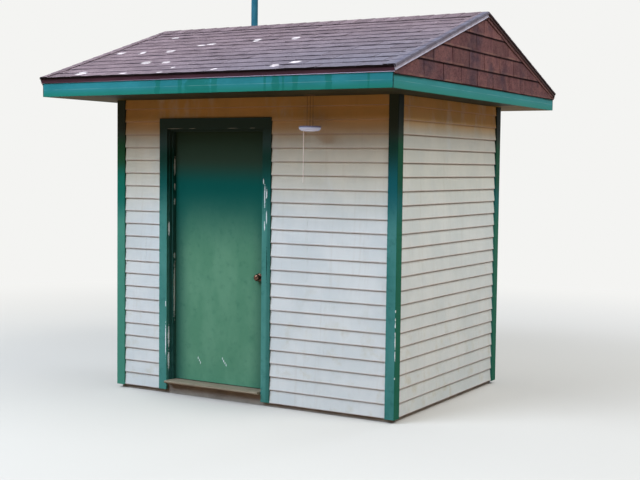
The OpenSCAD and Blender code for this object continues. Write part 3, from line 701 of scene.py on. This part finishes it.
def gable_tabs(name, place, rows_mm, material):
    """Tabs hung on one gable in level rows, between joints that are given row by row with how far
    each has opened, and cut to the slope of the deck. The lowest row sags towards both ends."""
    bm = shape()
    half = EAVE_Y
    sag = 0.012
    raised = 0.005
    for row, joints in enumerate(rows_mm):
        foot = GABLE_LOW.z + row * EXPOSURE
        length = min(EXPOSURE + LAP, GABLE_HIGH.z - foot)
        sheet_tab(bm, Matrix(), -half, half, foot + SET_BACK, length - LAP, SHEET - FELT - CLEAR,
                  sheet=FELT, segments=1, tint=0.7)
        stops = [(-half, 0), *((joint * MM, gap * MM) for joint, gap in joints), (half, 0)]
        for (left, left_gap), (right, right_gap) in zip(stops, stops[1:]):
            slip = RNG.uniform(-0.0025, 0.0025)
            sheet_tab(bm, Matrix(), left + left_gap / 2, right - right_gap / 2, foot + slip,
                      length - slip, SHEET, warp=RNG.uniform(0.001, 0.005), tint=sheet_tint())
    for vert in bm.verts:
        first = max(0.0, 1 - (vert.co.y - GABLE_LOW.z) / EXPOSURE)
        vert.co.y -= first * (sag * (vert.co.x / half) ** 2 - raised)
        vert.co = place @ vert.co
    under = Vector((0, 0, GABLE_HIGH.z))
    for side in (-1, 1):
        across = Vector((0, side * math.sin(ROOF_ANGLE), math.cos(ROOF_ANGLE)))
        everything = [*bm.verts, *bm.edges, *bm.faces]
        cut = bmesh.ops.bisect_plane(
            bm, geom=everything, dist=1e-6, plane_co=under, plane_no=across, clear_outer=True)["geom_cut"]
        rim = [item for item in cut if isinstance(item, bmesh.types.BMEdge)]
        bmesh.ops.holes_fill(bm, edges=rim, sides=0)
    return piece(name, bm, material)


def gable_border(name, place, material):
    """Narrow strip of shingle nailed up one slope of a gable over the ends of its rows."""
    bm = shape()
    slope = place @ Matrix.Translation((0, RIDGE_Z, 0)) @ Matrix.Rotation(-ROOF_ANGLE, 4, "Z")
    upper = -0.012
    wide = 0.04
    gap = 0.003
    end = SLOPE_L - 0.03
    reach = 0.02
    while reach < end:
        start = len(bm.verts)
        far = min(reach + TAB - gap, end)
        lower = upper - wide + RNG.uniform(-0.003, 0.003)
        board(bm, (reach, lower, SHEET * 2), (far, upper, SHEET * 3), slope, ease=0.0006)
        give_tint(bm, newest(bm, start), sheet_tint())
        reach += TAB
    piece(name, bm, material)


def rake_strips(name, side, material):
    """Strips of shingle laid up one gable's edges in line with the rows, and folded down a little
    over the metal."""
    bm = shape()
    out = RAKE_X + 0.002
    top = SHINGLE_BASE + SHEET + 0.002
    fold = 0.015
    overlap = 0.012
    fall = 0.0022
    for place, edge in ((FRONT_SLOPE, side), (BACK_SLOPE, -side)):
        foot = -EAVE_LIP
        while foot < SLOPE_L:
            length = min(EXPOSURE, SLOPE_L - foot)
            start = len(bm.verts)
            reach = RNG.uniform(-0.085, -0.055)
            outline = ((reach, top), (-0.002, top), (0.0, top - 0.001), (fold / 5, top - fold))
            points = [bm.verts.new((edge * (out + x), foot, z)) for x, z in outline]
            line = [bm.edges.new(pair) for pair in zip(points, points[1:])]
            drawn = bmesh.ops.extrude_edge_only(bm, edges=line)["geom"]
            ends = [item for item in drawn if isinstance(item, bmesh.types.BMVert)]
            bmesh.ops.translate(bm, verts=ends, vec=(0, length + overlap, -fall))
            faces = [item for item in drawn if isinstance(item, bmesh.types.BMFace)]
            bmesh.ops.recalc_face_normals(bm, faces=faces)
            if sum(face.normal.z for face in faces) < 0:
                bmesh.ops.reverse_faces(bm, faces=faces)
            bmesh.ops.solidify(bm, geom=faces, thickness=-SHEET)
            for vert in newest(bm, start):
                vert.co.y = min(vert.co.y, SLOPE_L)
                vert.co = place @ vert.co
            give_tint(bm, newest(bm, start), sheet_tint())
            foot += EXPOSURE
    return piece(name, bm, material)


def nail_heads(name, spots, material, body="building", radius=0.0035, proud=0.0008):
    """Small round nail heads, each at a place and along a direction."""
    bm = shape()
    for spot, direction in spots:
        turn = Vector(direction).to_track_quat("Z", "Y").to_matrix().to_4x4()
        bmesh.ops.create_cone(bm, cap_ends=True, segments=8, radius1=radius, radius2=radius * 0.6,
                              depth=2 * proud, matrix=Matrix.Translation(spot) @ turn)
    piece(name, bm, material, body)


# End laps of the siding on the front: place along it, and the first and last course that it runs over
SIDING_LAPS = ((0.813, 16, 17), (0.523, 8, 13), (0.672, 4, 7), (-0.966, 10, 11))


def siding_laps(material):
    """Where two lengths of siding lap on the front: the upper sheet's end stands a little proud."""
    bm = shape()
    step = 0.0014
    sunk = 0.0004
    thick = 0.002
    fade = 0.05
    for seam, first, last in SIDING_LAPS:
        for course in range(first, last + 1):
            foot = SIDING_FOOT + course * COURSE
            start = len(bm.verts)
            board(bm, (seam - fade, -SHEATHING_Y - BUTT, foot), (seam, -SHEATHING_Y, foot + COURSE))
            for vert in newest(bm, start):
                rise = (vert.co.z - foot) / COURSE
                face = BUTT + (FEATHER - BUTT) * rise
                proud = step if vert.co.x > seam - fade / 2 else -sunk
                outer = vert.co.y < -SHEATHING_Y - BUTT / 2
                vert.co.y = -SHEATHING_Y - (face + proud if outer else face - thick)
    piece("siding_laps", bm, material)


def key_cylinder(material):
    """Round key cylinder in the middle of the outer knob."""
    bm = shape()
    low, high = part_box("door_knobs")
    middle = Vector(((low.x + high.x) / 2, low.y, (low.z + high.z) / 2))
    bmesh.ops.create_cone(bm, cap_ends=True, segments=24, radius1=0.009, radius2=0.009, depth=0.003,
                          matrix=Matrix.Translation(middle) @ Matrix.Rotation(math.pi / 2, 4, "X"))
    board(bm, middle + Vector((-0.001, -0.0022, -0.005)), middle + Vector((0.001, -0.001, 0.005)))
    piece("key_cylinder", bm, material, "door")


def ease_edges(node, width_mm, angle_deg=30):
    """Rounds the sharp edges of a CAD node a little, as a plane or a brush leaves them."""
    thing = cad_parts[node]
    weld = thing.modifiers.new("weld", "WELD")
    weld.merge_threshold = 0.00001
    bevel = thing.modifiers.new("ease", "BEVEL")
    bevel.width = width_mm * MM
    bevel.segments = 2
    bevel.limit_method = "ANGLE"
    bevel.angle_limit = math.radians(angle_deg)


# Peeled spots and cracks, each a centre and its radii
CORNER_PEEL = [((FACE_X, -FACE_Y, z), (0.0045, 0.0045, half)) for z, half in (
    (0.798, 0.01), (0.739, 0.012), (0.698, 0.022), (0.635, 0.02), (0.575, 0.05), (0.481, 0.034),
    (0.322, 0.009))]
CASING_PEEL = [((x, -FACE_Y, z), (0.0042, 0.03, half)) for x, z, half in (
    (0.157, 1.574, 0.088), (0.174, 1.592, 0.046), (0.174, 1.419, 0.05), (0.157, 1.353, 0.034),
    (0.145, 1.684, 0.02), (-0.762, 0.71, 0.026), (-0.761, 0.42, 0.13))]
STOP_PEEL = [((-0.733, -0.872, z), (0.012, 0.014, half)) for z, half in (
    (1.789, 0.07), (1.632, 0.024), (1.51, 0.024), (1.088, 0.024), (0.819, 0.21))]
JAMB_PEEL = [((-0.745, -0.928, z), (0.012, 0.007, half)) for z, half in (
    (0.265, 0.08), (0.455, 0.08), (1.305, 0.056))]
HEAD_PEEL = [((x, -FACE_Y, CASING_HIGH.z + 0.002), (half, 0.03, height)) for x, half, height in (
    (-0.685, 0.075, 0.0009), (-0.512, 0.03, 0.0008), (-0.135, 0.05, 0.0007), (0.04, 0.026, 0.0007))]
CASING_CRACK = [((0.178, -FACE_Y, 1.07), (0.003, 0.03, 0.13))]
DOOR_SCRATCHES = [((x, LEAF_LOW.y, z), (0.003, 0.03, 0.011)) for x, z in (
    (-0.508, 0.295), (-0.496, 0.276), (-0.486, 0.258),
    (-0.277, 0.308), (-0.265, 0.292), (-0.253, 0.276), (-0.242, 0.261))]

# Shades laid over the enamels and granules: where each begins and is full, its share, its colour
LEFT = (X, 0, -1)
FLANK = (X, FACE_X - 0.005, FACE_X - 0.002)
# Trim: the flank away from the light darker as painted shade, the left boards lighter and greener, and
# painted shade growing towards the top under the eave
TRIM_SHADES = (
    (FLANK, 1, "#1f6350"),
    (LEFT, 0.75, "#468c76"),
    ((Z, 1.3, 1.68), 1, "#175f68"),
    (LEFT, (Z, 1.3, 1.6), 1, "#156a5a"),
    ((Z, 1.68, 1.95), 1, "#1b4239"),
    (LEFT, (Z, 1.7, 1.85), 0.8, "#1f4a28"),
    (FLANK, (Z, 1.5, 1.7), 0.9, "#124a33"),
    ((Z, 1.93, 2.08), 1, "#35423b"),
    (FLANK, (Z, 1.95, 2.12), 0.8, "#0f1814"))
# Doorway: the right third of the casing darker, painted shade in the recess by the jambs and stops, and
# painted shade growing towards the top under the eave
DOORWAY_SHADES = (
    ((X, 0.165, 0.19), 0.45, "#0f4a42"),
    ((X, -0.751, -0.748), (X, 0.129, 0.126), 0.6, "#0c2f31"),
    ((Z, 1.35, 1.68), 1, "#145854"),
    ((Z, 1.64, 1.86), 1, "#173c33"),
    ((Z, 1.86, 2.0), 1, "#334a48"))
# Door: painted shade towards its edges by the jambs, and painted shade growing towards the top under the
# eave
DOOR_SHADES = (
    ((X, -0.04, 0.1), 0.55, "#12463f"),
    ((X, -0.56, -0.735), 0.75, "#0d4743"),
    ((Z, 1.05, 1.64), 1, "#0a5852"),
    ((Z, 1.64, 1.86), 1, "#2f4538"))
ROOF_SHADES = (((X, -1.4, 1.5), (Z, 3.0, 2.4), 0.8, "#707483"),)
# Rake strips: darker grey near the outer edge, and painted shade nearly black on the fold of the back
# slope
RAKE_SHADES = (
    *ROOF_SHADES,
    ((X, RAKE_X - 0.045, RAKE_X - 0.03), 1, "#6b6b7b"),
    ((X, RAKE_X - 0.012, RAKE_X - 0.002), (Y, -0.02, 0.02), 1, "#241a1c"))

# Wet runs down the front fascia, as places along it and half widths
RUNS_MM = (
    (-391, 24), (-190, 19), (-38, 118), (104, 27), (524, 9), (610, 31), (672, 9), (765, 24),
    (1023, 26), (1319, 8))

# Joints of the shingles in each row of a gable as seen from outside, from left to right: place and gap
GABLE_JOINTS_MM = (
    ((-1089, 8), (-774, 11), (-467, 9), (-171, 8), (132, 4), (468, 6), (721, 5), (1040, 2), (1340, 1)),
    ((-939, 11), (-624, 11), (-328, 9), (-45, 8), (265, 2), (560, 5), (860, 2)),
    ((-505, 1), (-195, 9), (120, 1), (429, 8)),
    ((-340, 1), (-59, 10), (260, 1)),
    ())

# Pale patches on the front slope, as places on the roof and their half sizes
PATCHES_MM = (
    (-1190, 92, 46, 46), (-742, 40, 32, 22), (-1339, 771, 40, 28), (-1100, 749, 26, 40),
    (-779, 369, 50, 32), (-578, 355, 38, 25), (-398, 27, 22, 18), (-377, 171, 14, 24),
    (-828, 753, 42, 30), (-1167, 1286, 34, 26), (-650, 925, 36, 24), (-570, 960, 40, 26),
    (60, 65, 22, 28), (-173, 1008, 28, 46), (176, 1018, 34, 42), (539, 104, 32, 34),
    (663, 186, 40, 36))


def roof_spots():
    """The pale patches as places in the building's frame."""
    spots = []
    for across, up, half, high in PATCHES_MM:
        centre = FRONT_SLOPE @ Vector((across * MM, up * MM, 0.008))
        spots.append((centre, (half * MM, high * MM, high * MM)))
    return spots


def fascia_runs():
    """The wet runs as places on the front fascia, each from its top to its foot."""
    return [((x * MM, -EAVE_Y, FASCIA_MIDDLE), (half * MM, 3, 3)) for x, half in RUNS_MM]


def fascia_corners():
    """The four corners where the fascias meet."""
    return [((x, y, FASCIA_MIDDLE), (0.006, 0.006, 0.3))
            for x in (-GABLE_X, GABLE_X) for y in (-EAVE_Y, EAVE_Y)]


siding = coated_siding()
trim = enamel("trim_enamel", "#3b7c78", "#478785", "#1e514d", 0.35, TRIM_SHADES, peel=CORNER_PEEL)
doorway = enamel("doorway_enamel", "#44857e", "#509089", "#215550", 0.35, DOORWAY_SHADES,
                 peel=CASING_PEEL + STOP_PEEL + JAMB_PEEL + HEAD_PEEL, cracks=CASING_CRACK)
door_paint = enamel("door_enamel", "#548b70", "#60957a", "#306554", 0.3, DOOR_SHADES, peel=DOOR_SCRATCHES)
fascia = fascia_enamel(fascia_runs(), fascia_corners())
plywood = sheathing_plywood()
softwood = sawn_softwood()
concrete = cast_concrete()
soffit = soffit_painted_shade()
# Granules of the roof, light, middle and dark
ROOF_BLEND = ("#8f7e85", "#77676e", "#54484e")
roof_granules = asphalt_granules(
    "roof_granules", ROOF_BLEND, ROOF_SHADES, dirt=slope_dirt_and_shade, spots=roof_spots())
back_granules = asphalt_granules("back_granules", ROOF_BLEND, ROOF_SHADES, dirt=slope_dirt_and_shade)
rake_granules = asphalt_granules("rake_granules", ROOF_BLEND, RAKE_SHADES, dirt=slope_dirt_and_shade)
ridge_granules = asphalt_granules("ridge_granules", ROOF_BLEND, ROOF_SHADES)
gable_granules = asphalt_granules(
    "gable_granules", ("#7f5b5a", "#67474b", "#30262a"), smoky="#473c48", dirt=gable_edges_and_shadows)
border_granules = asphalt_granules("border_granules", ("#785a5b", "#6a4f50", "#30262a"))
drip_steel = coil_coated_steel()
rake_metal = rake_aluminium()
flashing = weathered_aluminium()
brass = tarnished_brass()
hinge_steel = plated_steel("hinge_steel", "#8f8c84")
nail_steel = plated_steel("nail_steel", "#a09d95")
wire = rusted_wire()
pipe_paint = painted_pipe()
lens = milk_glass()
moulding = white_moulding()
sill_wood = worn_sill()

FINISHES = {
    concrete: ("floor_slab",),
    softwood: ("wall_frame", "roof_trusses"),
    plywood: ("front_wall_left", "front_wall_right", "front_wall_over_door", "left_wall", "right_wall",
              "back_wall", "front_lining", "side_linings", "back_lining", "ceiling", "roof_deck_front",
              "roof_deck_back", "gable_walls"),
    siding: ("front_siding", "left_siding", "right_siding", "back_siding"),
    trim: ("front_corner_boards", "back_corner_boards"),
    doorway: ("door_side_casings", "door_head_casing", "door_side_jambs", "door_head_jamb", "door_stops"),
    fascia: ("eave_fascias", "gable_fascias"),
    door_paint: ("door_leaf",),
    soffit: ("soffit_boards",),
    sill_wood: ("door_sill",),
    hinge_steel: ("frame_hinge_leaves", "door_hinge_leaves"),
    brass: ("door_knobs", "door_latch", "strike_plate"),
    rake_metal: ("rake_drip_edges",),
    drip_steel: ("eave_drip_edges",),
    flashing: ("vent_flashing",),
    pipe_paint: ("vent_pipe", "vent_cap"),
    lens: ("hanging_lamp",),
    moulding: ("lamp_rod",),
    wire: ("lamp_wires",),
}
for finish, nodes in FINISHES.items():
    for node in nodes:
        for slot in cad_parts[node].material_slots:
            slot.material = finish

for node in (*FINISHES[trim], *FINISHES[fascia], "door_side_casings", "door_head_casing", "door_leaf",
             "door_stops"):
    ease_edges(node, 2.0)
for node in FINISHES[siding]:
    ease_edges(node, 1.2, 50)

shingle_slope("front_roof_tabs", FRONT_SLOPE, "shingles_front", roof_granules)
shingle_slope("back_roof_tabs", BACK_SLOPE, "shingles_back", back_granules)
ridge_caps(ridge_granules)
right_tabs = gable_tabs("right_gable_tabs", RIGHT_GABLE, GABLE_JOINTS_MM, gable_granules)
gable_tabs("left_gable_tabs", LEFT_GABLE, GABLE_JOINTS_MM, gable_granules)
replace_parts(right_tabs, "gable_shingles")
gable_border("right_gable_border", RIGHT_GABLE, border_granules)
gable_border("left_gable_border", LEFT_GABLE, border_granules)
right_strips = rake_strips("right_rake_strips", 1, rake_granules)
rake_strips("left_rake_strips", -1, rake_granules)
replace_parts(right_strips, "rake_shingles")
siding_laps(siding)
key_cylinder(brass)


# Nails and screws

def steps(start, end, spacing):
    """Places from start to end, about so far apart."""
    count = max(1, round((end - start) / spacing))
    return [start + (end - start) * number / count for number in range(count + 1)]


def by_hand():
    """How far a nail strays from its line."""
    return RNG.uniform(-0.01, 0.01)


def fascia_nails():
    """Two rows of painted nails along every fascia."""
    spots = []
    for side in (-1, 1):
        for place in steps(-1.44, 1.44, 0.41):
            for z in (FASCIA_LOW.z + 0.028, FASCIA_LOW.z + 0.082):
                spots.append(((place + by_hand(), side * EAVE_Y, z), (0, side, 0)))
                spots.append(((side * GABLE_X, place + by_hand(), z), (side, 0, 0)))
    nail_heads("fascia_nails", spots, fascia)


def trim_nails():
    """Painted nails down the corner boards and round the door casing."""
    spots = []
    for side in (-1, 1):
        for z in steps(0.12, 2.2, 0.36):
            for end in (-1, 1):
                spots.append(((side * (FACE_X - 0.04), end * FACE_Y, z + by_hand()), (0, end, 0)))
                spots.append(((side * FACE_X, end * (FACE_Y - 0.042), z + by_hand()), (side, 0, 0)))
    near = 0.018
    far = 0.056
    for x in (CASING_LOW.x + near, CASING_LOW.x + far, CASING_HIGH.x - far, CASING_HIGH.x - near):
        for z in steps(0.2, 2.0, 0.4):
            spots.append(((x, -FACE_Y, z + by_hand()), (0, -1, 0)))
    for x in steps(-0.78, 0.16, 0.24):
        spots.append(((x, -FACE_Y, CASING_HIGH.z + 0.041), (0, -1, 0)))
    nail_heads("trim_nails", spots, trim)


def lining_nails():
    """Nails that hold the plywood inside to its studs and ties."""
    low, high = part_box("side_linings")
    sheet = 0.009
    back_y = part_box("back_lining")[0].y
    ceiling_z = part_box("ceiling")[0].z
    spots = []
    for z in steps(0.16, 2.2, 0.3):
        for y in steps(low.y + 0.03, high.y - 0.03, 0.4):
            spots += [((low.x + sheet, y, z), (1, 0, 0)), ((high.x - sheet, y, z), (-1, 0, 0))]
        for x in steps(-1.08, 1.08, 0.36):
            spots.append(((x, back_y, z), (0, -1, 0)))
    for x in steps(-1.08, 1.08, 0.43):
        for y in steps(-0.78, 0.78, 0.26):
            spots.append(((x, y, ceiling_z), (0, 0, -1)))
    nail_heads("lining_nails", spots, nail_steel, radius=0.004)


def door_screws():
    """Flush screws in the hinge leaves, the strike plate and the latch."""
    low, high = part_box("frame_hinge_leaves")
    half = 0.0445
    plate = 0.0018
    frame_spots = []
    door_spots = []
    for middle in (low.z + half, (low.z + high.z) / 2, high.z - half):
        for up, across in ((-0.03, 0.012), (0, 0.026), (0.03, 0.012)):
            frame_spots.append(((low.x + plate, low.y + across, middle + up), (1, 0, 0)))
            door_spots.append(((LEAF_LOW.x - plate, low.y + across, middle + up), (-1, 0, 0)))
    plate_low, plate_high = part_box("strike_plate")
    latch_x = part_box("door_latch")[0].x + 0.0012
    y = (plate_low.y + plate_high.y) / 2
    for z in (plate_low.z + 0.008, plate_high.z - 0.008):
        frame_spots.append(((plate_low.x, y, z), (-1, 0, 0)))
        door_spots.append(((latch_x, y, z), (1, 0, 0)))
    nail_heads("frame_screws", frame_spots, hinge_steel, proud=0.0003)
    nail_heads("door_screws", door_spots, hinge_steel, "door", proud=0.0003)


fascia_nails()
trim_nails()
lining_nails()
door_screws()


# Light and floor

# Strength of the sky at the horizon and overhead, and the colour of the background
SKY_LOW = 0.07
SKY_HIGH = 0.5
BACKGROUND = "#f4f4f2"


def in_view(tree):
    """1 for a ray from the camera, or by way of a glossy or glassy surface, and 0 for plain light."""
    rays = add(tree, "LightPath").outputs
    seen = rays["Is Camera Ray"]
    for kind in ("Is Glossy Ray", "Is Transmission Ray"):
        seen = add(tree, "Math", {0: rays[kind], 1: seen}, operation="MAXIMUM").outputs[0]
    return seen


def studio_floor():
    """Pale floor that runs out into the white of the background."""
    material, tree, place = begin("studio_floor")
    seen = in_view(tree)
    pale = lay_over(tree, colour("#957052"), "#c4c2bd", seen)
    floor = add(tree, "BsdfDiffuse", {"Color": pale})
    white = add(tree, "Emission", {"Color": colour(BACKGROUND), "Strength": 1.0})
    distance = add(tree, "VectorMath", {0: place}, operation="LENGTH").outputs["Value"]
    far = add(tree, "MapRange", {"Value": distance, "From Min": 2.6, "From Max": 9.0},
              interpolation_type="SMOOTHSTEP").outputs[0]
    both = add(tree, "MixShader", {0: product(tree, far, seen), 1: floor.outputs[0], 2: white.outputs[0]})
    output = add(tree, "OutputMaterial")
    tree.links.new(both.outputs[0], output.inputs[0])
    return material


def light_studio():
    """A soft white sky, dimmer towards the horizon, with a pale background behind the building."""
    world = bpy.data.worlds.new("studio")
    world.use_nodes = True
    tree = world.node_tree
    tree.nodes.clear()
    heading = add(tree, "TexCoord").outputs["Generated"]
    strength = add(tree, "MapRange", {
        "Value": add(tree, "SeparateXYZ", {0: heading}).outputs[Z], "From Min": 0.1, "From Max": 0.7,
        "To Min": SKY_LOW, "To Max": SKY_HIGH}, interpolation_type="SMOOTHSTEP").outputs[0]
    sky = add(tree, "Background", {"Color": colour("#eff4ff"), "Strength": strength})
    backdrop = add(tree, "Background", {"Color": colour(BACKGROUND), "Strength": 1.0})
    both = add(tree, "MixShader", {0: in_view(tree), 1: sky.outputs[0], 2: backdrop.outputs[0]})
    output = add(tree, "OutputWorld")
    tree.links.new(both.outputs[0], output.inputs[0])
    bpy.context.scene.world = world


def soft_lamp(name, place, size, watts, hex_colour):
    """A large square lamp that faces the middle of the walls."""
    data = bpy.data.lights.new(name, "AREA")
    data.size = size
    data.energy = watts
    data.color = colour(hex_colour)[:3]
    lamp = bpy.data.objects.new(name, data)
    lamp.location = place
    lamp.rotation_mode = "QUATERNION"
    lamp.rotation_quaternion = (Vector((0, 0, 1.2)) - Vector(place)).to_track_quat("-Z", "Y")
    bpy.context.scene.collection.objects.link(lamp)


def lay_floor():
    """A wide round floor under the building."""
    bm = bmesh.new()
    bmesh.ops.create_circle(bm, cap_ends=True, segments=64, radius=60)
    mesh = bpy.data.meshes.new("studio_floor")
    bm.to_mesh(mesh)
    bm.free()
    floor = bpy.data.objects.new("studio_floor", mesh)
    bpy.context.scene.collection.objects.link(floor)
    mesh.materials.append(studio_floor())


light_studio()
soft_lamp("front_lamp", (-4.0, -8.6, 8.8), 7, 1570, "#e4eefd")
soft_lamp("right_lamp", (8.2, -1.0, 10.0), 7, 1100, "#f8f7f1")
soft_lamp("back_lamp", (2.0, 9.0, 8.5), 5, 450, "#e6efff")
soft_lamp("left_lamp", (-9.5, 1.0, 8.5), 5, 450, "#f6f8ef")
lay_floor()

bpy.context.scene.view_settings.view_transform = "Standard"
